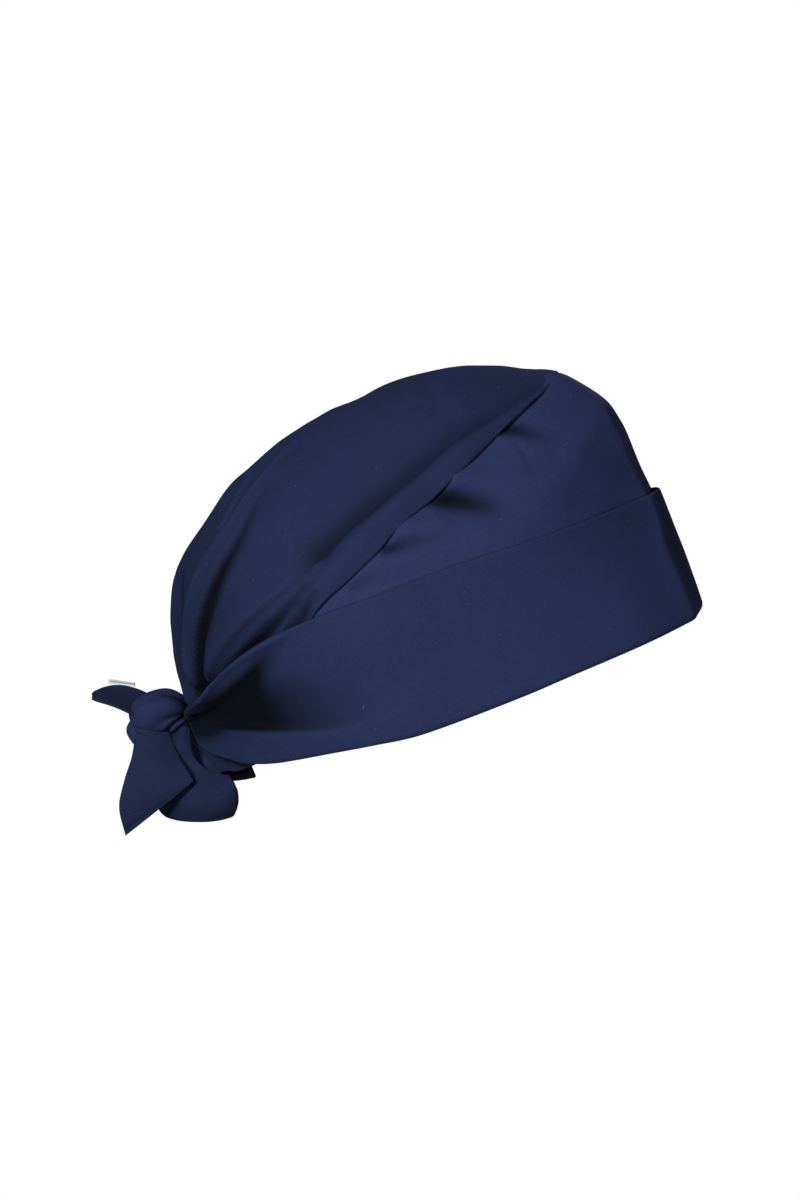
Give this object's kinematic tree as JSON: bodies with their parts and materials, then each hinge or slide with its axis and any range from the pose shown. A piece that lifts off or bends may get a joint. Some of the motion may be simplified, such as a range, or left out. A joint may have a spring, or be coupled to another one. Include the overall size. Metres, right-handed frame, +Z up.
{
  "type": "scrub cap",
  "caption": "Navy twill scrub cap with gathered crown, front panel, turned-up cuff, nape elastic and a half-bow tied at the back.",
  "frame": {"origin": "middle of the head opening, at the level of the rim over the ears", "axes": "+Z up and +Y towards the nape, with the cap tipped back 19.4 degrees as it is worn, so its front edge is high and faces -Y; -X is the wearer's right"},
  "size_m": [0.1636, 0.2443, 0.186],
  "materials": {
    "navy_twill": "fine cotton and polyester twill with a soft, slight sheen",
    "ribbed_elastic": "matt ribbed elastic",
    "blank_label": "smooth pale woven label, blank"
  },
  "bodies": {
    "root": {"crown_panel": "navy_twill", "front_panel": "navy_twill", "cuff": "navy_twill", "knot_wrap": "navy_twill", "knot_core": "navy_twill", "tie_loop": "navy_twill", "tie_end_lower": "navy_twill", "tie_end_upper": "navy_twill", "nape_elastic": "ribbed_elastic", "label": "blank_label"}
  },
  "joints": []
}
